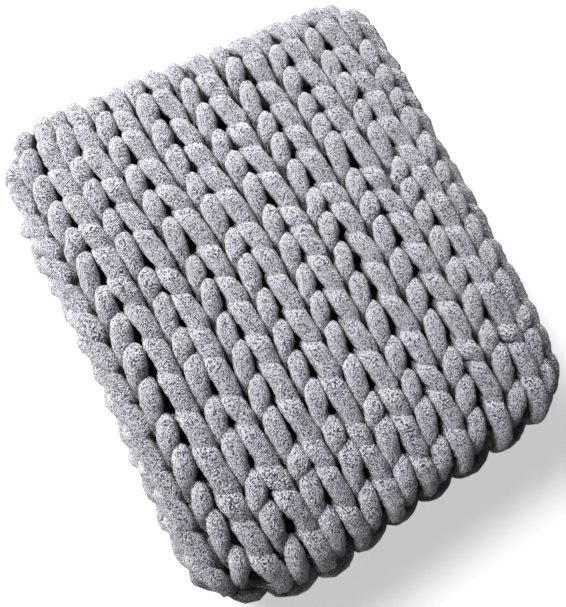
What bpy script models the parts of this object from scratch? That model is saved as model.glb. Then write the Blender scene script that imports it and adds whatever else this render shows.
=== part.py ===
"""Chunky hand-knit blanket, folded back and forth into a pile of four layers.

Units are metres, +Z is up.  X runs across the wales (the columns of stitches), Y along them, with the
two knit-side folds at +Y.  The origin is the centre of the pile's footprint, on the surface it lies on.

The cloth is one solid.  Its section in the YZ plane is a zigzag strip: it starts at the cast-on edge,
which droops over the -Y end, runs to the upper +Y fold, back to the -Y fold, and so on down to the
bottom layer.  The strip is drawn once as a flat outline, extruded across the width, a column of points
at a time, and every point then takes its place on the folded cloth, with the stitches raised in it.
"""

import math

import bmesh
import bpy

OBJECT_NAME = "chunky_knit_blanket"

# --- the pile ---
LAYER_PITCH = 0.033            # middle of one layer to the middle of the next
CLOTH_THICK = 0.030            # through the knitting, crown to crown
HALF_THICK = CLOTH_THICK / 2
FOLD_RADIUS = LAYER_PITCH / 2  # to the middle of the cloth
LAYER_Z = [HALF_THICK + LAYER_PITCH * n for n in range(4)]  # lowest layer first
HALF_WIDTH = 0.187
UPPER_FOLD_Y = 0.1945          # centre line of the upper +Y fold
LOWER_FOLD_Y = 0.1910          # centre line of the lower +Y fold
BACK_FOLD_Y = -0.1800          # centre line of the -Y fold, and of the top layer's droop over it
BOTTOM_END_Y = -0.2090         # end of the lowest layer
DROOP_ANGLE = math.radians(38)
DROOP_RADIUS = LAYER_Z[3] - (LAYER_Z[1] + LAYER_Z[2]) / 2
DROOP_SHARE = 0.082            # of the top layer's courses, those that lie on the droop

# --- how the pile slumps and how uneven it is ---
SIDE_SLUMP = 0.21              # share of the height lost at the left and right edges
SIDE_SLUMP_REACH = 0.056
SIDE_SLUMP_POWER = 2.2
END_SLUMP = {"near": 0.20, "far": 0.07}  # and at the -Y and +Y ends
END_SLUMP_REACH = 0.115
PILE_HALF_LENGTH = 0.225
SWELL = 0.016                  # share of the height, in low swells over the top
SWELL_A = {"x": 19, "y": 11, "start": 0.6}  # the two waves that make the swells, in radians a metre
SWELL_B = {"x": -7, "y": 13}
# how far the -Y and +Y ends draw in at their corners, and the sides
NEAR_CUT = {"left": 0.034, "right": 0.018}
FAR_CUT = {"left": 0.011, "right": 0.013}
SIDE_CUT = 0.012
CORNER_POWER = 6
NEAR_BULGE = 0.008             # how far the -Y end bulges out
NEAR_BULGE_X = -0.095
NEAR_BULGE_REACH = 0.055
TOP_CORNER_PULL = 0.012        # how far in the top layer's cast-on corner at -X lies
TOP_CORNER_FROM = -0.060       # and the Y at which its edge starts to turn in
PILE_SKEW = 0.055              # the courses run off square: Y gained for each X
PLACE_X = 0.0011               # puts the middle of the footprint on the origin
PLACE_Y = -0.0008
# sideways place of each layer: share of the full width, and its shift
LAYER_WIDTH = {"top": 1.0, "third": 0.985, "second": 0.965, "bottom": 0.95}
LAYER_SHIFT = {"top": 0.0, "third": -0.005, "second": -0.003, "bottom": 0.001}

# --- the knitting ---
TOP_COURSES = 14.5             # rows of stitches on the top layer
COURSE_SQUEEZE = 0.04          # courses are twice this share closer than on average at the +Y fold
SELVEDGE_WAVE = 0.0030         # scallops along the side edges
EDGE_THINNING = (0.56, 0.94)   # share of the half thickness left at the side edge and one column in
FREE_END_THINNING = 0.66       # and at the cast-on edge and the bottom layer's end
EDGE_LOOP_REACH = 0.0035       # how far each leg's end stands past the cast-on edge
# where the wales meet, across the cloth: at the cast-on edge, at mid length and at the +Y folds; the
# last wale is turned down over the side, so it is narrow in plan
WALE_EDGES = (
    {"cast_on": -0.187, "middle": -0.187, "fold": -0.187},
    {"cast_on": -0.147, "middle": -0.145, "fold": -0.156},
    {"cast_on": -0.105, "middle": -0.109, "fold": -0.126},
    {"cast_on": -0.067, "middle": -0.071, "fold": -0.090},
    {"cast_on": -0.029, "middle": -0.033, "fold": -0.051},
    {"cast_on": 0.008, "middle": 0.005, "fold": -0.009},
    {"cast_on": 0.044, "middle": 0.045, "fold": 0.038},
    {"cast_on": 0.088, "middle": 0.088, "fold": 0.080},
    {"cast_on": 0.132, "middle": 0.130, "fold": 0.121},
    {"cast_on": 0.168, "middle": 0.167, "fold": 0.164},
    {"cast_on": 0.187, "middle": 0.187, "fold": 0.187},
)
WALES = len(WALE_EDGES) - 1
# one knit stitch, from its base (0) to the next one's (1): how deep below the crown the cloth lies
# along the wale's centre line, along its two legs and where it meets the next wale, and how far out
# the legs stand from the centre line, as a share of half the wale's width
STITCH_ROWS = (
    {"at": 0.10, "centre": 0.0105, "leg": 0.0000, "between": 0.0120, "spread": 0.48},
    {"at": 0.40, "centre": 0.0120, "leg": 0.0000, "between": 0.0065, "spread": 0.58},
    {"at": 0.62, "centre": 0.0105, "leg": 0.0040, "between": 0.0080, "spread": 0.56},
    {"at": 0.82, "centre": 0.0090, "leg": 0.0030, "between": 0.0160, "spread": 0.38},
)
FOLD_GROOVE = 0.0070           # between the legs that run over a knit-side fold
PURL_GROOVE = 0.0060           # between the purl bumps on the -Y fold
COLUMNS_PER_WALE = 4           # meeting line, leg, centre line, leg

YARN_COLOUR = (0.40, 0.39, 0.43, 1.0)
YARN_ROUGHNESS = 0.95


def smooth_blend(a, b, t):
    """From a to b as t goes from 0 to 1, level at both ends."""
    t = min(max(t, 0.0), 1.0)
    return a + (b - a) * t * t * (3 - 2 * t)


def course_place(s):
    """Share of the layer's length reached after the share s of its courses."""
    return s + COURSE_SQUEEZE * s * (1 - s * s)


def end_draw(x, cut):
    """How far an end draws in at x."""
    return cut["left" if x < 0 else "right"] * min(abs(x) / HALF_WIDTH, 1.0) ** CORNER_POWER


def near_draw(x):
    """How far the -Y end draws in at x; it bulges out left of its middle."""
    bulge = math.exp(-((x - NEAR_BULGE_X) / NEAR_BULGE_REACH) ** 2)
    return end_draw(x, NEAR_CUT) - NEAR_BULGE * bulge


def side_share(y):
    """The share of the width left at y, near the corners."""
    return 1 - SIDE_CUT / HALF_WIDTH * min(abs(y) / PILE_HALF_LENGTH, 1.0) ** CORNER_POWER


def top_corner_pull(x, y):
    """How far the top layer is pulled in near its cast-on corner at -X."""
    along = max(0.0, (TOP_CORNER_FROM - y) / (TOP_CORNER_FROM + PILE_HALF_LENGTH))
    return TOP_CORNER_PULL * min(along, 1.0) ** 2 * max(0.0, -x / HALF_WIDTH)


def upper_fold_y(x):
    return UPPER_FOLD_Y - end_draw(x, FAR_CUT)


def lower_fold_y(x):
    return LOWER_FOLD_Y - end_draw(x, FAR_CUT)


def back_fold_y(x):
    return BACK_FOLD_Y + near_draw(x)


def bottom_end_y(x):
    return BOTTOM_END_Y + near_draw(x)


def on_arc(y, z, radius, angle, outward):
    """A point on an arc about (y, z), and the knit side's direction there."""
    c, s = math.cos(angle), math.sin(angle)
    return y + radius * c, z + radius * s, outward * c, outward * s


def on_top(x, s):
    """The top layer, from the cast-on edge to the upper fold."""
    start = back_fold_y(x)
    if s < DROOP_SHARE:
        angle = math.pi / 2 + DROOP_ANGLE * (1 - s / DROOP_SHARE)
        return on_arc(start, LAYER_Z[3] - DROOP_RADIUS, DROOP_RADIUS, angle, 1)
    t = course_place((s - DROOP_SHARE) / (1 - DROOP_SHARE))
    return start + (upper_fold_y(x) - start) * t, LAYER_Z[3], 0.0, 1.0


def on_upper_fold(x, s):
    z = (LAYER_Z[2] + LAYER_Z[3]) / 2
    return on_arc(upper_fold_y(x), z, FOLD_RADIUS, math.pi * (0.5 - s), 1)


def on_third(x, s):
    start = upper_fold_y(x)
    return start + (back_fold_y(x) - start) * s, LAYER_Z[2], 0.0, -1.0


def on_back_fold(x, s):
    z = (LAYER_Z[1] + LAYER_Z[2]) / 2
    return on_arc(back_fold_y(x), z, FOLD_RADIUS, math.pi * (0.5 + s), -1)


def on_second(x, s):
    start = back_fold_y(x)
    return start + (lower_fold_y(x) - start) * s, LAYER_Z[1], 0.0, 1.0


def on_lower_fold(x, s):
    z = (LAYER_Z[0] + LAYER_Z[1]) / 2
    return on_arc(lower_fold_y(x), z, FOLD_RADIUS, math.pi * (0.5 - s), 1)


def on_bottom(x, s):
    start = lower_fold_y(x)
    return start + (bottom_end_y(x) - start) * s, LAYER_Z[0], 0.0, -1.0


# the stretches of the strip in order from the cast-on edge, with the layers they join
STRETCHES = {
    "top": (on_top, "top", "top"),
    "upper_fold": (on_upper_fold, "top", "third"),
    "third": (on_third, "third", "third"),
    "back_fold": (on_back_fold, "third", "second"),
    "second": (on_second, "second", "second"),
    "lower_fold": (on_lower_fold, "second", "bottom"),
    "bottom": (on_bottom, "bottom", "bottom"),
}


def slump(x, y):
    """Share of the height left at a place in plan."""
    side = max(0.0, (abs(x) - (HALF_WIDTH - SIDE_SLUMP_REACH)) / SIDE_SLUMP_REACH)
    end = max(0.0, (abs(y) - (PILE_HALF_LENGTH - END_SLUMP_REACH)) / END_SLUMP_REACH)
    swell = (SWELL * math.sin(SWELL_A["x"] * x + SWELL_A["y"] * y + SWELL_A["start"])
             * math.cos(SWELL_B["x"] * x + SWELL_B["y"] * y))
    return (1 - SIDE_SLUMP * min(side, 1.0) ** SIDE_SLUMP_POWER
            - END_SLUMP["near" if y < 0 else "far"] * min(end, 1.0) ** 2 + swell)


def folded_place(stretch, s, x, height):
    """Where a point of the cloth lies, height above its middle on the knit side."""
    place, from_layer, to_layer = STRETCHES[stretch]
    width = smooth_blend(LAYER_WIDTH[from_layer], LAYER_WIDTH[to_layer], s)
    shift = smooth_blend(LAYER_SHIFT[from_layer], LAYER_SHIFT[to_layer], s)
    y, z, knit_y, knit_z = place(x, s)
    y += height * knit_y
    z += height * knit_z
    x = x * width * side_share(y) + shift
    if stretch == "top":
        x += top_corner_pull(x, y)
    return x + PLACE_X, y + PILE_SKEW * x + PLACE_Y, z * slump(x, y)


def wale_edge_x(k, t):
    """Where wale k's left edge runs, t of the way from the cast-on edge to the fold."""
    row = WALE_EDGES[k]
    if t < 0.5:
        return smooth_blend(row["cast_on"], row["middle"], 2 * t)
    return smooth_blend(row["middle"], row["fold"], 2 * t - 1)


def share_of_length(stretch, s):
    """How far along from the -Y end (0) to the +Y end (1) a place on the strip is."""
    if stretch in ("top", "second"):
        return s
    if stretch in ("third", "bottom"):
        return 1 - s
    return 0.0 if stretch == "back_fold" else 1.0


def column_x(column, t, spread):
    """Where a column of points runs; the legs' columns stand out from the wale's centre by spread."""
    wale, place = divmod(column, COLUMNS_PER_WALE)
    if place == 0:
        return wale_edge_x(wale, t)
    left, right = wale_edge_x(wale, t), wale_edge_x(wale + 1, t)
    return (left + right) / 2 + (place - 2) * spread * (right - left) / 2


def knit_stitch(column, row):
    """Depth below the crown, and spread, at a point of a knit stitch."""
    name = ("between", "leg", "centre", "leg")[column % COLUMNS_PER_WALE]
    return STITCH_ROWS[row][name], STITCH_ROWS[row]["spread"]


def over_fold(column, row):
    """The same where the legs run over a knit-side fold."""
    return (0.0 if column % 2 else FOLD_GROOVE), 0.5


def purl_bumps(column, row):
    """The same on the purl side: bumps in rows across, high and low by turns."""
    high = (row + (column % COLUMNS_PER_WALE == 0)) % 2
    return (0.0 if high else PURL_GROOVE), 0.5


def plain(column, row):
    """Inside the pile, where a layer lies on the next."""
    return 0.0, 0.5


def evenly(count):
    """Places along a stretch, its start left to the stretch before."""
    return [(n + 1) / count for n in range(count)]


def top_rows():
    """The stitch rows of the top layer: the place, and which row of the stitch it is."""
    rows = [((course + STITCH_ROWS[row]["at"]) / TOP_COURSES, row)
            for course in range(math.ceil(TOP_COURSES)) for row in range(len(STITCH_ROWS))]
    return [(s, row) for s, row in rows if s < 1]


# rows of points on a stretch where it shows and where it is inside the pile
HIDDEN_ROWS = 5
INNER_FOLD_ROWS = 4
OUTER_FOLD_ROWS = 8
BACK_FOLD_ROWS = 10
UNDERSIDE_ROWS = 8
# the top layer's lower side, from the upper fold back to the cast-on edge
TOP_INNER_ROWS = (0.75, 0.45, DROOP_SHARE, DROOP_SHARE / 2, 0.02, 0.0)
NEAR_END = 0.975               # the bottom layer keeps its thickness up to here
CAST_ON_REACH = 0.010          # and the top layer from here on


def outline_rows():
    """The strip's outline: (stretch, place along it, side, relief, row), knit side first."""
    rows = [("top", s, 1, knit_stitch, row) for s, row in top_rows()]
    rows += [("upper_fold", s, 1, over_fold, 0) for s in evenly(OUTER_FOLD_ROWS)]
    rows += [("third", s, 1, plain, 0) for s in evenly(HIDDEN_ROWS)]
    rows += [("back_fold", s, 1, plain, 0) for s in evenly(INNER_FOLD_ROWS)]
    rows += [("second", s, 1, plain, 0) for s in evenly(HIDDEN_ROWS)[:-1]]
    rows += [("lower_fold", s, 1, over_fold, 0) for s in [0.0] + evenly(OUTER_FOLD_ROWS)]
    rows += [("bottom", s, 1, plain, 0) for s in evenly(UNDERSIDE_ROWS)[:-1] + [NEAR_END, 1.0]]
    rows += [("bottom", s, -1, plain, 0) for s in [1.0, NEAR_END] + evenly(HIDDEN_ROWS)[-2::-1] + [0.0]]
    rows += [("lower_fold", s, -1, plain, 0) for s in reversed([0.0] + evenly(INNER_FOLD_ROWS)[:-1])]
    rows += [("second", s, -1, plain, 0) for s in reversed([0.0] + evenly(HIDDEN_ROWS)[:-1])]
    rows += [("back_fold", 1 - n / BACK_FOLD_ROWS, -1, purl_bumps, n) for n in range(1, BACK_FOLD_ROWS)]
    rows += [("third", s, -1, plain, 0) for s in reversed([0.0] + evenly(HIDDEN_ROWS))]
    rows += [("upper_fold", s, -1, plain, 0) for s in reversed([0.0] + evenly(INNER_FOLD_ROWS)[:-1])]
    rows += [("top", s, -1, plain, 0) for s in TOP_INNER_ROWS]
    return rows


def edge_thinning(column, columns):
    """The cloth is rounded off at its side edges: the share of its half thickness left there."""
    from_edge = min(column, columns - 1 - column)
    return EDGE_THINNING[from_edge] if from_edge < len(EDGE_THINNING) else 1.0


def cloth_point(column, columns, outline_row):
    """Where one point of the solid lies."""
    stretch, s, side, relief, row = outline_row
    depth, spread = relief(column, row)
    x = column_x(column, share_of_length(stretch, s), spread)
    at_edge = column in (0, columns - 1)
    if at_edge and relief is knit_stitch:
        x -= math.copysign(SELVEDGE_WAVE, x) * (1 + math.cos(2 * math.pi * STITCH_ROWS[row]["at"]))
    height = side * (HALF_THICK - depth) * edge_thinning(column, columns)
    at_free_end = (stretch == "top" and s < CAST_ON_REACH) or (stretch == "bottom" and s == 1.0)
    if at_free_end:
        height *= FREE_END_THINNING
    px, py, pz = folded_place(stretch, s, x, height)
    if at_free_end and column % 2:
        py -= EDGE_LOOP_REACH
    return px, py, pz


def build_blanket(collection):
    """The strip's outline, extruded across the width and laid on the folded cloth."""
    rows = outline_rows()
    columns = WALES * COLUMNS_PER_WALE + 1
    mesh = bpy.data.meshes.new("blanket")
    shape = bmesh.new()
    ring = [shape.verts.new(cloth_point(0, columns, row)) for row in rows]
    face = shape.faces.new(ring)
    for column in range(1, columns):
        grown = bmesh.ops.extrude_face_region(shape, geom=[face])["geom"]
        if column > 1:
            bmesh.ops.delete(shape, geom=[face], context="FACES_ONLY")
        face = next(item for item in grown if isinstance(item, bmesh.types.BMFace))
        for vert, row in zip(face.verts, rows):
            vert.co = cloth_point(column, columns, row)
    bmesh.ops.recalc_face_normals(shape, faces=shape.faces)
    shape.to_mesh(mesh)
    shape.free()
    mesh.shade_smooth()
    blanket = bpy.data.objects.new("blanket", mesh)
    collection.objects.link(blanket)
    return blanket


def yarn_material():
    """Soft matt chenille yarn, light lilac grey."""
    material = bpy.data.materials.new("yarn")
    material.use_nodes = True
    shader = material.node_tree.nodes["Principled BSDF"]
    shader.inputs["Base Color"].default_value = YARN_COLOUR
    shader.inputs["Roughness"].default_value = YARN_ROUGHNESS
    shader.inputs["Metallic"].default_value = 0.0
    material.diffuse_color = YARN_COLOUR
    return material


def main():
    for old in list(bpy.data.objects):
        bpy.data.objects.remove(old, do_unlink=True)
    collection = bpy.data.collections.new(OBJECT_NAME)
    bpy.context.scene.collection.children.link(collection)
    blanket = build_blanket(collection)
    blanket.data.materials.append(yarn_material())


main()
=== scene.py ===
"""The look of the chunky knit blanket: every stitch of the folded pile is a loop of real, soft yarn.

Units are metres, +Z is up.  X runs across the wales (the columns of stitches), Y along them.

The knitting is one strand of chenille yarn.  It is laid loop by loop and course by course over the same
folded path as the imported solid, so the layers, folds and edges stay where the frame has them.  A rope
of slanting loops finishes each end of the cloth.
"""

import math

import bmesh
import bpy
import numpy as np
from mathutils import Matrix, Vector


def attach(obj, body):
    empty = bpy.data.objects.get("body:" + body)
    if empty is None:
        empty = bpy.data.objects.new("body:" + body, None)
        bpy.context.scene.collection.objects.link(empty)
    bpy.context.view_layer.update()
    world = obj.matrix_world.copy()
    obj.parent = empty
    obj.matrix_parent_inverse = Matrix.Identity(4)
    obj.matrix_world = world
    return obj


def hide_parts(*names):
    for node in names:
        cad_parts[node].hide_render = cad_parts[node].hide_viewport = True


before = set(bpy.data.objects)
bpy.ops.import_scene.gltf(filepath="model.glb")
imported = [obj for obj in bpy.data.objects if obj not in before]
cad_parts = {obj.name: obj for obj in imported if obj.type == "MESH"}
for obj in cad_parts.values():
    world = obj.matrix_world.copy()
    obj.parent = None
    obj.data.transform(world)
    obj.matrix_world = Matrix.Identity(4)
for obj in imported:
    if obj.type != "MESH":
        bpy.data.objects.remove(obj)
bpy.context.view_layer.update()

# ---------------------------------------------------------------- the folded cloth, as in the frame
LAYER_PITCH = 0.033            # middle of one layer to the middle of the next
HALF_THICK = 0.015
FOLD_RADIUS = LAYER_PITCH / 2  # to the middle of the cloth
LAYER_Z = [HALF_THICK + LAYER_PITCH * n for n in range(4)]  # lowest layer first
HALF_WIDTH = 0.187
UPPER_FOLD_Y = 0.1945          # centre line of the upper +Y fold
LOWER_FOLD_Y = 0.1910          # centre line of the lower +Y fold
BACK_FOLD_Y = -0.1800          # centre line of the -Y fold, and of the top layer's droop over it
BOTTOM_END_Y = -0.2090         # end of the lowest layer
DROOP_ANGLE = math.radians(38)
DROOP_RADIUS = LAYER_Z[3] - (LAYER_Z[1] + LAYER_Z[2]) / 2
DROOP_SHARE = 0.082            # of the top layer's courses, those that lie on the droop
SIDE_SLUMP = 0.21              # share of the height lost at the left and right edges
SIDE_SLUMP_REACH = 0.056
SIDE_SLUMP_POWER = 2.2
END_SLUMP = {"near": 0.20, "far": 0.07}  # and at the -Y and +Y ends
END_SLUMP_REACH = 0.115
PILE_HALF_LENGTH = 0.225
SWELL = 0.016                  # share of the height, in low swells over the top
SWELL_A = {"x": 19, "y": 11, "start": 0.6}  # the two waves that make the swells, in radians a metre
SWELL_B = {"x": -7, "y": 13}
# how far the -Y and +Y ends draw in at their corners, and the sides
NEAR_CUT = {"left": 0.034, "right": 0.018}
FAR_CUT = {"left": 0.011, "right": 0.013}
SIDE_CUT = 0.012
CORNER_POWER = 6
NEAR_BULGE = 0.008             # how far the -Y end bulges out
NEAR_BULGE_X = -0.095
NEAR_BULGE_REACH = 0.055
TOP_CORNER_PULL = 0.012        # how far in the top layer's cast-on corner at -X lies
TOP_CORNER_FROM = -0.060       # and the Y at which its edge starts to turn in
PILE_SKEW = 0.055              # the courses run off square: Y gained for each X
PLACE_X = 0.0011               # puts the middle of the footprint on the origin
PLACE_Y = -0.0008
# sideways place of each layer: share of the full width, and its shift
LAYER_WIDTH = {"top": 1.0, "third": 0.985, "second": 0.965, "bottom": 0.95}
LAYER_SHIFT = {"top": 0.0, "third": -0.005, "second": -0.003, "bottom": 0.001}
COURSE_SQUEEZE = 0.04          # courses are twice this share closer than on average at the +Y fold

# courses of stitches on each stretch of the strip, from the cast-on edge
COURSES = {"top": 14.5, "upper_fold": 2, "third": 13, "back_fold": 2, "second": 13,
           "lower_fold": 2, "bottom": 13.5}
# where the wales meet on the flat cloth: at the cast-on edge, at mid length and at the folds on the knit
# side; the side edges of the cloth roll down
WALE_EDGES = (
    {"cast_on": -0.187, "middle": -0.186, "fold": -0.194},
    {"cast_on": -0.147, "middle": -0.145, "fold": -0.156},
    {"cast_on": -0.105, "middle": -0.109, "fold": -0.126},
    {"cast_on": -0.067, "middle": -0.071, "fold": -0.090},
    {"cast_on": -0.029, "middle": -0.033, "fold": -0.051},
    {"cast_on": 0.008, "middle": 0.005, "fold": -0.009},
    {"cast_on": 0.044, "middle": 0.045, "fold": 0.038},
    {"cast_on": 0.088, "middle": 0.088, "fold": 0.080},
    {"cast_on": 0.132, "middle": 0.130, "fold": 0.121},
    {"cast_on": 0.168, "middle": 0.167, "fold": 0.162},
    {"cast_on": 0.204, "middle": 0.204, "fold": 0.200},
)
ROLL_FROM = 0.160              # X where the roll starts
ROLL_RADIUS = 0.016
ROLL_SLACK = 0.85              # share of the cloth's edge that lies on the roll, the rest is bunched up
WALES = len(WALE_EDGES) - 1

# ---------------------------------------------------------------- the yarn and its stitch
YARN_RADIUS = 0.0080
LUMP_SIZE = 0.012              # the yarn's soft lumps
LUMP_HEIGHT = 0.0006
LUMP_WAVES = 10                # the lumps are the sum of so many waves
LUMP_STRETCH = (0.6, 1.5)      # the waves' frequencies, as shares of the one that fits a lump
LUMP_PEAK = 1.4                # brings their sum to about 1
LUMP_SEED = 5
PILE_ROUGHNESS = 0.00022       # how far single points of the pile stand out or in
LOWEST = 0.0004                # the yarn is pressed flat this high above the surface
# half a loop, from the middle of the sinker that joins it to the next wale to just before its head:
# across in wale widths from the wale's centre line, along in courses, height above the cloth's middle
# on the knit side, and the yarn's thickness as a share
LEFT_HALF = (
    {"across": -0.50, "along": 0.34, "height": -0.0086, "thick": 0.85},
    {"across": -0.38, "along": 0.20, "height": -0.0080, "thick": 0.88},
    {"across": -0.250, "along": 0.20, "height": -0.0010, "thick": 0.98},
    {"across": -0.204, "along": 0.40, "height": 0.0041, "thick": 0.96},
    {"across": -0.208, "along": 0.68, "height": 0.0060, "thick": 1.06},
    {"across": -0.238, "along": 0.96, "height": 0.0062, "thick": 1.11},
    {"across": -0.266, "along": 1.20, "height": 0.0060, "thick": 1.12},
    {"across": -0.292, "along": 1.38, "height": 0.0031, "thick": 1.02},
    {"across": -0.250, "along": 1.54, "height": -0.0042, "thick": 0.92},
)
RIGHT_HALF = (
    {"across": 0.50, "along": 0.34, "height": -0.0086, "thick": 0.85},
    {"across": 0.36, "along": 0.20, "height": -0.0082, "thick": 0.82},
    {"across": 0.195, "along": 0.22, "height": -0.0050, "thick": 0.74},
    {"across": 0.172, "along": 0.44, "height": 0.0004, "thick": 0.76},
    {"across": 0.192, "along": 0.70, "height": 0.0044, "thick": 0.93},
    {"across": 0.246, "along": 0.98, "height": 0.0061, "thick": 1.06},
    {"across": 0.293, "along": 1.26, "height": 0.0061, "thick": 1.01},
    {"across": 0.312, "along": 1.46, "height": 0.0031, "thick": 0.90},
    {"across": 0.23, "along": 1.61, "height": -0.0050, "thick": 0.82},
)
HEAD = {"across": 0.0, "along": 1.68, "height": -0.0088, "thick": 0.86}
# at the cloth's side edges the yarn turns back into the next course a little inside the edge, and the
# leg there slants by so many wales a course, about its middle
SELVEDGE = {"across": 0.36, "height": -0.0105, "slant": 0.12, "middle": 0.9}
# the rope of slanting loops along each end of the cloth, one to a wale: out is in courses, away from
# the cloth
EDGE_ROPE = (
    {"across": -0.46, "out": -0.10, "height": -0.0094, "thick": 0.86},
    {"across": -0.28, "out": 0.18, "height": -0.0058, "thick": 0.98},
    {"across": 0.02, "out": 0.30, "height": -0.0048, "thick": 1.02},
    {"across": 0.30, "out": 0.20, "height": -0.0064, "thick": 0.96},
)
# the course that each rope lies along, which way is out, and by how many courses it draws in from each
# wale to the next; the heads of the last stitches lie just past the bind-off's course
CAST_ON = {"course": 0, "outward": -1, "draw": 0.025}
BIND_OFF = {"course": 59.5, "outward": 1, "draw": 0.0}
FOOT_ALONG = 0.50              # up to here a leg follows the stitch that it comes out of
SHOULDER_ALONG = 1.26          # and from here on it has its own tension
# rise is the attribute that says how open the yarn's surface lies: its height as a share of half the
# cloth's thickness on the knit side, -1 between the layers and 1 at the outline of the pile; it fades
# from the one to the other between these two distances from the outline.  The material darkens the
# yarn's colour where rise is low, as painted shade in the creases and between the layers
OUTLINE_INSET = {"top": (0.002, 0.018), "inner": (0.014, 0.042)}
HIDDEN_RISE = -0.25            # yarn below this rise is hidden, and is made with longer steps
HIDDEN_STEP = 2.5
# the columns of a key and of a path's point: place, thickness as a share, height as a share of half the
# cloth's thickness, how far inside the outline it lies (0 to 1), and the knit side's direction
PLACE, THICK, SHARE, INSIDE, KNIT = slice(0, 3), 3, 4, 5, slice(6, 9)


def smooth_blend(a, b, t):
    """From a to b as t goes from 0 to 1, level at both ends."""
    t = min(max(t, 0.0), 1.0)
    return a + (b - a) * t * t * (3 - 2 * t)


def course_place(s):
    """Share of the layer's length reached after the share s of its courses."""
    return s + COURSE_SQUEEZE * s * (1 - s * s)


def end_draw(x, cut):
    """How far an end draws in at x."""
    return cut["left" if x < 0 else "right"] * min(abs(x) / HALF_WIDTH, 1.0) ** CORNER_POWER


def near_draw(x):
    """How far the -Y end draws in at x; it bulges out left of its middle."""
    bulge = math.exp(-((x - NEAR_BULGE_X) / NEAR_BULGE_REACH) ** 2)
    return end_draw(x, NEAR_CUT) - NEAR_BULGE * bulge


def side_share(y):
    """The share of the width left at y, near the corners."""
    return 1 - SIDE_CUT / HALF_WIDTH * min(abs(y) / PILE_HALF_LENGTH, 1.0) ** CORNER_POWER


def top_corner_pull(x, y):
    """How far the top layer's cast-on corner at -X is pulled in."""
    along = max(0.0, (TOP_CORNER_FROM - y) / (TOP_CORNER_FROM + PILE_HALF_LENGTH))
    return TOP_CORNER_PULL * min(along, 1.0) ** 2 * max(0.0, -x / HALF_WIDTH)


def upper_fold_y(x):
    return UPPER_FOLD_Y - end_draw(x, FAR_CUT)


def lower_fold_y(x):
    return LOWER_FOLD_Y - end_draw(x, FAR_CUT)


def back_fold_y(x):
    return BACK_FOLD_Y + near_draw(x)


def bottom_end_y(x):
    return BOTTOM_END_Y + near_draw(x)


def on_arc(y, z, radius, angle, outward):
    """A point on an arc about (y, z), and the knit side's direction there."""
    c, s = math.cos(angle), math.sin(angle)
    return y + radius * c, z + radius * s, outward * c, outward * s


def on_top(x, s):
    start = back_fold_y(x)
    if s < DROOP_SHARE:
        angle = math.pi / 2 + DROOP_ANGLE * (1 - s / DROOP_SHARE)
        return on_arc(start, LAYER_Z[3] - DROOP_RADIUS, DROOP_RADIUS, angle, 1)
    t = course_place((s - DROOP_SHARE) / (1 - DROOP_SHARE))
    return start + (upper_fold_y(x) - start) * t, LAYER_Z[3], 0.0, 1.0


def on_upper_fold(x, s):
    z = (LAYER_Z[2] + LAYER_Z[3]) / 2
    return on_arc(upper_fold_y(x), z, FOLD_RADIUS, math.pi * (0.5 - s), 1)


def on_third(x, s):
    start = upper_fold_y(x)
    return start + (back_fold_y(x) - start) * s, LAYER_Z[2], 0.0, -1.0


def on_back_fold(x, s):
    z = (LAYER_Z[1] + LAYER_Z[2]) / 2
    return on_arc(back_fold_y(x), z, FOLD_RADIUS, math.pi * (0.5 + s), -1)


def on_second(x, s):
    start = back_fold_y(x)
    return start + (lower_fold_y(x) - start) * s, LAYER_Z[1], 0.0, 1.0


def on_lower_fold(x, s):
    z = (LAYER_Z[0] + LAYER_Z[1]) / 2
    return on_arc(lower_fold_y(x), z, FOLD_RADIUS, math.pi * (0.5 - s), 1)


def on_bottom(x, s):
    start = lower_fold_y(x)
    return start + (bottom_end_y(x) - start) * s, LAYER_Z[0], 0.0, -1.0


# each stretch of the strip: its place, the layers that it joins, and how far along the pile it starts
# and ends, from the -Y end (0) to the +Y end (1)
STRETCHES = (
    {"name": "top", "place": on_top, "from": "top", "to": "top", "start": 0, "end": 1},
    {"name": "upper_fold", "place": on_upper_fold, "from": "top", "to": "third", "start": 1, "end": 1},
    {"name": "third", "place": on_third, "from": "third", "to": "third", "start": 1, "end": 0},
    {"name": "back_fold", "place": on_back_fold, "from": "third", "to": "second", "start": 0, "end": 0},
    {"name": "second", "place": on_second, "from": "second", "to": "second", "start": 0, "end": 1},
    {"name": "lower_fold", "place": on_lower_fold, "from": "second", "to": "bottom", "start": 1, "end": 1},
    {"name": "bottom", "place": on_bottom, "from": "bottom", "to": "bottom", "start": 1, "end": 0},
)


def slump(x, y):
    """Share of the height left at a place in plan."""
    side = max(0.0, (abs(x) - (HALF_WIDTH - SIDE_SLUMP_REACH)) / SIDE_SLUMP_REACH)
    end = max(0.0, (abs(y) - (PILE_HALF_LENGTH - END_SLUMP_REACH)) / END_SLUMP_REACH)
    swell = (SWELL * math.sin(SWELL_A["x"] * x + SWELL_A["y"] * y + SWELL_A["start"])
             * math.cos(SWELL_B["x"] * x + SWELL_B["y"] * y))
    return (1 - SIDE_SLUMP * min(side, 1.0) ** SIDE_SLUMP_POWER
            - END_SLUMP["near" if y < 0 else "far"] * min(end, 1.0) ** 2 + swell)


def stretch_at(course):
    """The stretch that a course is on, and the share of the stretch before it."""
    first = 0.0
    for stretch in STRETCHES:
        count = COURSES[stretch["name"]]
        if course < first + count or stretch is STRETCHES[-1]:
            return stretch, (course - first) / count
        first += count


def wale_edge_x(k, t):
    """Where wale k's left edge runs, t of the way from the cast-on edge to the fold."""
    row = WALE_EDGES[k]
    if t < 0.5:
        return smooth_blend(row["cast_on"], row["middle"], 2 * t)
    return smooth_blend(row["middle"], row["fold"], 2 * t - 1)


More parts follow.
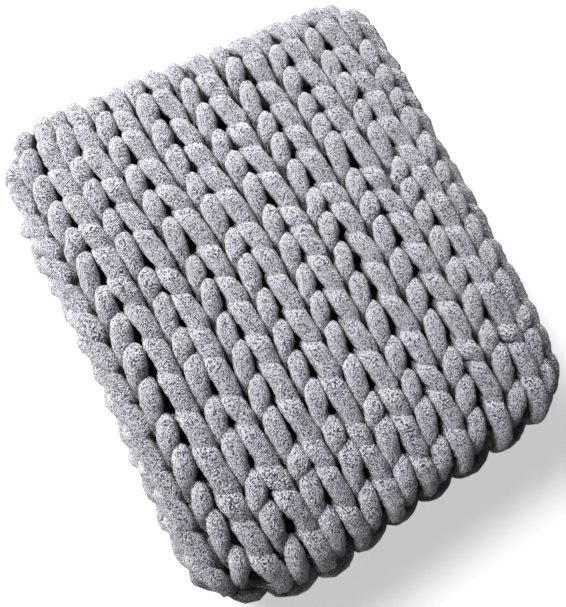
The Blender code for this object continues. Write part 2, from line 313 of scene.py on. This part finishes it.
def turned_down(x, height):
    """Where a place x across the flat cloth comes to at its side edge: its x, how far down, and the
    angle that the cloth has turned through."""
    angle = max(0.0, abs(x) - ROLL_FROM) * ROLL_SLACK / ROLL_RADIUS
    if angle == 0.0:
        return x, 0.0, 0.0
    side = math.copysign(1.0, x)
    return (side * (ROLL_FROM + (ROLL_RADIUS + height) * math.sin(angle)),
            (ROLL_RADIUS + height) * (1 - math.cos(angle)), side * angle)


def cloth_place(wale, across, course, height):
    """Where a point of the knitting lies on the folded cloth, and the knit side's direction there."""
    stretch, s = stretch_at(course)
    t = stretch["start"] + (stretch["end"] - stretch["start"]) * s
    left, right = wale_edge_x(wale, t), wale_edge_x(wale + 1, t)
    x, down, turned = turned_down((left + right) / 2 + across * (right - left), height)
    width = smooth_blend(LAYER_WIDTH[stretch["from"]], LAYER_WIDTH[stretch["to"]], s)
    shift = smooth_blend(LAYER_SHIFT[stretch["from"]], LAYER_SHIFT[stretch["to"]], s)
    y, z, knit_y, knit_z = stretch["place"](x, s)
    y += (height - down) * knit_y
    z += (height - down) * knit_z
    x = x * width * side_share(y) + shift
    if stretch["name"] == "top":
        x += top_corner_pull(x, y)
    knit = (math.sin(turned), knit_y * math.cos(turned), knit_z * math.cos(turned))
    return (x + PLACE_X, y + PILE_SKEW * x + PLACE_Y, z * slump(x, y)), knit


# ---------------------------------------------------------------- unevenness of hand knitting
TENSION_SEED = 20
# how each leg differs from the plain stitch, as a mean and a deviation: in wales, in courses, in metres,
# and as a share of its thickness
TENSION = {"across": (0, 0.016), "along": (0, 0.065), "height": (0, 0.0009), "thick": (1, 0.045)}
DRIFT = 0.04                   # in courses: each wale runs a little ahead or behind for some courses
DRIFT_RUN = 3
COURSE_UNEVEN = 0.06           # in courses: each course lies a little high or low
TENSION_ROWS = int(sum(COURSES.values())) + 2

rng = np.random.default_rng(TENSION_SEED)
stitch_tension = {name: rng.normal(mean, spread, (TENSION_ROWS, WALES, 2))
                  for name, (mean, spread) in TENSION.items()}
drift = rng.normal(0, DRIFT, (TENSION_ROWS + DRIFT_RUN, WALES, 1))
stitch_tension["along"] += sum(drift[n:n + TENSION_ROWS] for n in range(DRIFT_RUN))
stitch_tension["along"] += rng.normal(0, COURSE_UNEVEN, (TENSION_ROWS, 1, 1))


# ---------------------------------------------------------------- the yarn's way through the cloth
def yarn_key(wale, across, course, along, height, thick):
    """One key of the yarn, with the columns named above."""
    (x, y, z), knit = cloth_place(wale, across, course + along, height)
    on_show = stretch_at(course + along)[0]["name"] in ("top", "upper_fold")
    # how far inside the outline of the pile the key lies: for the top, from its two ends; for the inner
    # layers, from the sides and the drawn-in corners too, and there the rise is the same all round
    inset = PILE_HALF_LENGTH - abs(y - PILE_SKEW * x)
    open_to, inside_from = OUTLINE_INSET["top" if on_show else "inner"]
    if not on_show:
        inset -= near_draw(x) if y < 0 else end_draw(x, FAR_CUT)
        inset = min(inset, HALF_WIDTH * side_share(y) - abs(x))
        knit = (0.0, 0.0, 0.0)
    inside = smooth_blend(0, 1, (inset - open_to) / (inside_from - open_to))
    # share and inside make the rise that the material turns into painted shade; the inner layers are dark
    # all round
    share = height / HALF_THICK if on_show else -1.0
    return x, y, z, thick, share, inside, *knit


def half_loop_keys(course, wale, side):
    """The keys of half a stitch: side is -1 for its left half and 1 for its right half.  The foot has
    the tension of the stitch below, and the sinker's middle stays where the next wale's yarn meets it."""
    leg = (side + 1) // 2
    below, own = ({name: table[n, wale, leg] for name, table in stitch_tension.items()}
                  for n in (course, course + 1))
    half = LEFT_HALF if side < 0 else RIGHT_HALF
    keys = []
    for key in half:
        reach = (key["along"] - FOOT_ALONG) / (SHOULDER_ALONG - FOOT_ALONG)
        uneven = {name: smooth_blend(below[name], own[name], reach) for name in own}
        across, height = key["across"], key["height"]
        if key is half[0]:
            uneven["across"] = 0.0
            uneven["along"] = 0.0
        if wale == (0 if side < 0 else WALES - 1):
            if abs(across) > SELVEDGE["across"]:
                across, height = side * SELVEDGE["across"], SELVEDGE["height"]
            else:
                across += side * SELVEDGE["slant"] * (key["along"] - SELVEDGE["middle"])
        keys.append(yarn_key(wale, across + uneven["across"], course,
                             key["along"] + uneven["along"],
                             height + uneven["height"],
                             key["thick"] * uneven["thick"]))
    return keys


def stitch_keys(course, wale, heading):
    """The keys of a whole stitch, from sinker to sinker in the direction that the course is knitted."""
    first = half_loop_keys(course, wale, -heading)
    last = half_loop_keys(course, wale, heading)
    head = yarn_key(wale, HEAD["across"], course, HEAD["along"], HEAD["height"], HEAD["thick"])
    return first + [head] + last[:0:-1]


def strand_keys(first_course, last_course):
    """The keys of the yarn over some courses, which run to and fro."""
    keys = []
    for course in range(first_course, last_course):
        heading = 1 if course % 2 == 0 else -1
        wales = range(WALES) if heading == 1 else range(WALES - 1, -1, -1)
        for wale in wales:
            keys += stitch_keys(course, wale, heading)
    return np.array(keys)


def edge_keys(edge):
    """The keys of the rope along one end of the cloth."""
    keys = []
    for wale in range(WALES):
        for key in EDGE_ROPE:
            along = edge["outward"] * (key["out"] - edge["draw"] * wale)
            keys.append(yarn_key(wale, key["across"], edge["course"], along, key["height"],
                                 key["thick"]))
    return np.array(keys)


def smooth_path(keys, spacing):
    """Points a small way apart on a smooth curve of cubics through the keys."""
    before = np.vstack([2 * keys[0] - keys[1], keys[:-1]])
    after = np.vstack([keys[1:], 2 * keys[-1] - keys[-2]])
    slope = (after - before) / 2
    points = []
    for n in range(len(keys) - 1):
        a, b = keys[n], keys[n + 1]
        rise = max(1 + (key[SHARE] - 1) * key[INSIDE] for key in (a, b))
        step = spacing * (HIDDEN_STEP if rise < HIDDEN_RISE else 1)
        steps = max(1, round(float(np.linalg.norm(b[PLACE] - a[PLACE])) / step))
        for t in np.arange(steps) / steps:
            h00, h10 = 2 * t**3 - 3 * t**2 + 1, t**3 - 2 * t**2 + t
            h01, h11 = -2 * t**3 + 3 * t**2, t**3 - t**2
            points.append(h00 * a + h10 * slope[n] + h01 * b + h11 * slope[n + 1])
    points.append(keys[-1])
    return np.array(points)


def carried_frames(points):
    """Two directions across the strand at each point, carried along it without twist."""
    tangents = np.gradient(points, axis=0)
    tangents /= np.linalg.norm(tangents, axis=1)[:, None]
    start = np.cross(tangents[0], (0.0, 0.0, 1.0))
    across = [start / np.linalg.norm(start)]
    for n in range(1, len(points)):
        v = across[-1] - tangents[n] * np.dot(across[-1], tangents[n])
        across.append(v / np.linalg.norm(v))
    across = np.array(across)
    return across, np.cross(tangents, across)


def straight_strand(rings, sides):
    """A straight closed tube of unit radius, one unit between its rings, along Z."""
    shape = bmesh.new()
    bmesh.ops.create_cone(shape, segments=sides, radius1=1, radius2=1, depth=rings - 1,
                          cap_ends=True, cap_tris=False,
                          matrix=Matrix.Translation((0, 0, (rings - 1) / 2)))
    lengthwise = [e for e in shape.edges if abs(e.verts[0].co.z - e.verts[1].co.z) > 0.5]
    bmesh.ops.subdivide_edges(shape, edges=lengthwise, cuts=rings - 2, use_grid_fill=False)
    return shape


def soft_lumps(places):
    """A smooth random value from about -1 to 1 at each place."""
    waves = np.random.default_rng(LUMP_SEED)
    total = np.zeros(len(places))
    for _ in range(LUMP_WAVES):
        direction = waves.normal(size=3)
        direction *= 2 * math.pi / LUMP_SIZE / np.linalg.norm(direction) * waves.uniform(*LUMP_STRETCH)
        total += np.sin(places @ direction + waves.uniform(0, 2 * math.pi))
    return total / math.sqrt(LUMP_WAVES) / LUMP_PEAK


def add_attribute(mesh, name, kind, field, values):
    attribute = mesh.attributes.new(name, kind, "POINT")
    attribute.data.foreach_set(field, values.ravel().astype(np.float32))


def spin_yarn(name, keys, spacing, sides, material):
    """The yarn that runs through the keys, as a closed soft tube.  Its attributes are rise, and unbent,
    the place that each point would have if the yarn were straight."""
    path = smooth_path(keys, spacing)
    centres = path[:, PLACE]
    mesh = bpy.data.meshes.new(name)
    shape = straight_strand(len(path), sides)
    shape.to_mesh(mesh)
    shape.free()
    straight = np.empty(len(mesh.vertices) * 3)
    mesh.vertices.foreach_get("co", straight)
    straight = straight.reshape(-1, 3)
    ring = np.clip(np.rint(straight[:, 2]).astype(int), 0, len(path) - 1)

    across, up = carried_frames(centres)
    outward = across[ring] * straight[:, :1] + up[ring] * straight[:, 1:2]
    radius = YARN_RADIUS * path[ring, THICK]
    places = centres[ring] + outward * radius[:, None]
    pile = np.random.default_rng(len(keys)).normal(0, PILE_ROUGHNESS, len(places))
    places += outward * (LUMP_HEIGHT * soft_lumps(places) + pile)[:, None]
    places[:, 2] = np.maximum(places[:, 2], LOWEST)
    mesh.vertices.foreach_set("co", places.ravel())

    # rise is what the material turns into painted shade in the creases and between the layers
    facing = np.einsum("ij,ij->i", outward, path[ring, KNIT])
    height = path[ring, SHARE] + facing * radius / HALF_THICK
    add_attribute(mesh, "rise", "FLOAT", "value", 1 + (height - 1) * path[ring, INSIDE])
    run = np.concatenate([[0], np.cumsum(np.linalg.norm(np.diff(centres, axis=0), axis=1))])
    unbent = np.column_stack([straight[:, :2] * YARN_RADIUS, run[ring]])
    add_attribute(mesh, "unbent", "FLOAT_VECTOR", "vector", unbent)
    mesh.shade_smooth()
    mesh.update()
    strand = bpy.data.objects.new(name, mesh)
    bpy.context.scene.collection.objects.link(strand)
    mesh.materials.append(material)
    return strand


# ---------------------------------------------------------------- material
def set_inputs(node, values):
    for name, value in values.items():
        node.inputs[name].default_value = value


def speckle(tree):
    """Fine dark flecks in the pile, a little longer along the yarn than around it; their colour is painted
    shade in the gaps between the pile's tufts.
    """
    unbent = tree.nodes.new("ShaderNodeAttribute")
    unbent.attribute_name = "unbent"
    squash = tree.nodes.new("ShaderNodeMapping")
    set_inputs(squash, {"Scale": (1, 1, 1.25)})
    tree.links.new(unbent.outputs["Vector"], squash.inputs["Vector"])
    flecks = tree.nodes.new("ShaderNodeTexNoise")
    set_inputs(flecks, {"Scale": 840, "Detail": 1.2, "Roughness": 0.6})
    tree.links.new(squash.outputs["Vector"], flecks.inputs["Vector"])
    return flecks.outputs["Fac"]


def depth_shade(tree):
    """Painted shade: the share of its colour that the yarn keeps, little in the creases between the loops
    and between the layers.
    """
    rise = tree.nodes.new("ShaderNodeAttribute")
    rise.attribute_name = "rise"
    shade = tree.nodes.new("ShaderNodeMapRange")
    set_inputs(shade, {"From Min": 0.28, "From Max": 0.52, "To Min": 0.04, "To Max": 1.0})
    tree.links.new(rise.outputs["Fac"], shade.inputs["Value"])
    return shade.outputs["Result"]


def chenille():
    """Pale lilac grey, matt and velvety."""
    material = bpy.data.materials.new("chenille")
    material.use_nodes = True
    tree = material.node_tree
    shader = tree.nodes["Principled BSDF"]
    set_inputs(shader, {"Roughness": 0.95, "Specular IOR Level": 0.15, "Sheen Weight": 1.0,
                        "Sheen Roughness": 0.4})
    flecks = speckle(tree)
    colours = tree.nodes.new("ShaderNodeValToRGB")
    # the dark end of the ramp is painted shade in the gaps between the pile's tufts; the same noise also
    # drives the bump below
    dark, pale = colours.color_ramp.elements
    dark.position, dark.color = 0.395, (0.015, 0.013, 0.022, 1)
    pale.position, pale.color = 0.535, (0.62, 0.594, 0.692, 1)
    tree.links.new(flecks, colours.inputs["Fac"])
    # painted shade: the colour is scaled down where the yarn lies deep, in the creases and between the
    # layers
    shaded = tree.nodes.new("ShaderNodeVectorMath")
    shaded.operation = "SCALE"
    tree.links.new(colours.outputs["Color"], shaded.inputs[0])
    tree.links.new(depth_shade(tree), shaded.inputs["Scale"])
    tree.links.new(shaded.outputs["Vector"], shader.inputs["Base Color"])
    bump = tree.nodes.new("ShaderNodeBump")
    set_inputs(bump, {"Strength": 1.0, "Distance": 0.0052})
    tree.links.new(flecks, bump.inputs["Height"])
    tree.links.new(bump.outputs["Normal"], shader.inputs["Normal"])
    return material


# ---------------------------------------------------------------- the knitting
# the length of a step along the yarn, and the sides of its tube
FINE = ((0.0024, 22))
COARSE = ((0.0045, 12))
yarn = chenille()
# the strand in pieces: each runs from its first course to the next piece's, between the two edges' ropes
PIECES = (
    {"name": "cast_on_edge", "keys": edge_keys(CAST_ON), "grain": FINE},
    {"name": "top_courses_near", "keys": strand_keys(0, 6), "grain": FINE},
    {"name": "top_courses_middle", "keys": strand_keys(6, 12), "grain": FINE},
    {"name": "top_courses_far", "keys": strand_keys(12, 17), "grain": FINE},
    {"name": "third_layer_courses", "keys": strand_keys(17, 31), "grain": COARSE},
    {"name": "second_layer_courses", "keys": strand_keys(31, 45), "grain": COARSE},
    {"name": "bottom_layer_courses", "keys": strand_keys(45, 59), "grain": COARSE},
    {"name": "bind_off_edge", "keys": edge_keys(BIND_OFF), "grain": COARSE},
)
for entry in PIECES:
    spacing, sides = entry["grain"]
    strand = spin_yarn(entry["name"], entry["keys"], spacing, sides, yarn)
    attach(strand, "root")
    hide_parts("blanket")

# ---------------------------------------------------------------- floor, light and camera
FLOOR_SIZE = 6.0
# power is in watts and spread in degrees
LIGHTS = (
    {"name": "key", "place": (-0.50, 0.72, 0.84), "target": (-0.06, 0.15, 0.10), "size": 0.7,
     "power": 5.3, "spread": 60},
    {"name": "fill", "place": (0.1, -0.1, 1.6), "target": (0, 0, 0.06), "size": 1.4,
     "power": 0.3, "spread": 180},
)
# angles are in degrees, the lens and the sensor in millimetres
CAMERA = {"azimuth": 297.3, "elevation": 72.6, "roll": 37.1, "distance": 0.6075,
          "target": (-0.0178, -0.0132, 0.0816), "lens": 41.52, "sensor": 36}


def pale_floor():
    shape = bmesh.new()
    bmesh.ops.create_grid(shape, x_segments=1, y_segments=1, size=FLOOR_SIZE / 2)
    mesh = bpy.data.meshes.new("floor")
    shape.to_mesh(mesh)
    shape.free()
    floor = bpy.data.objects.new("floor", mesh)
    bpy.context.scene.collection.objects.link(floor)
    material = bpy.data.materials.new("pale_floor")
    material.use_nodes = True
    set_inputs(material.node_tree.nodes["Principled BSDF"], {
        "Base Color": (0.93, 0.93, 0.93, 1), "Roughness": 0.9,
        "Emission Color": (1, 1, 1, 1), "Emission Strength": 0.5})
    mesh.materials.append(material)


def soft_light(name, place, target, size, power, spread):
    light = bpy.data.lights.new(name, "AREA")
    light.size = size
    light.spread = math.radians(spread)
    light.energy = power
    lamp = bpy.data.objects.new(name, light)
    lamp.location = place
    lamp.rotation_euler = (Vector(target) - Vector(place)).to_track_quat("-Z", "Y").to_euler()
    bpy.context.scene.collection.objects.link(lamp)


def overhead_camera():
    azimuth, elevation = math.radians(CAMERA["azimuth"]), math.radians(CAMERA["elevation"])
    back = Vector((math.sin(azimuth) * math.cos(elevation), -math.cos(azimuth) * math.cos(elevation),
                   math.sin(elevation)))
    lens = bpy.data.cameras.new("overhead")
    lens.lens = CAMERA["lens"]
    lens.sensor_width = CAMERA["sensor"]
    camera = bpy.data.objects.new("overhead", lens)
    camera.location = Vector(CAMERA["target"]) + CAMERA["distance"] * back
    turn = (-back).to_track_quat("-Z", "Y").to_matrix().to_4x4()
    roll = Matrix.Rotation(math.radians(CAMERA["roll"]), 4, "Z")
    camera.rotation_euler = (turn @ roll).to_euler()
    bpy.context.scene.collection.objects.link(camera)
    bpy.context.scene.camera = camera


def studio_world():
    world = bpy.data.worlds.new("studio")
    world.use_nodes = True
    set_inputs(world.node_tree.nodes["Background"], {"Color": (1, 1, 1, 1), "Strength": 0.05})
    bpy.context.scene.world = world
    bpy.context.scene.view_settings.view_transform = "Standard"


pale_floor()
for light in LIGHTS:
    soft_light(**light)
overhead_camera()
studio_world()
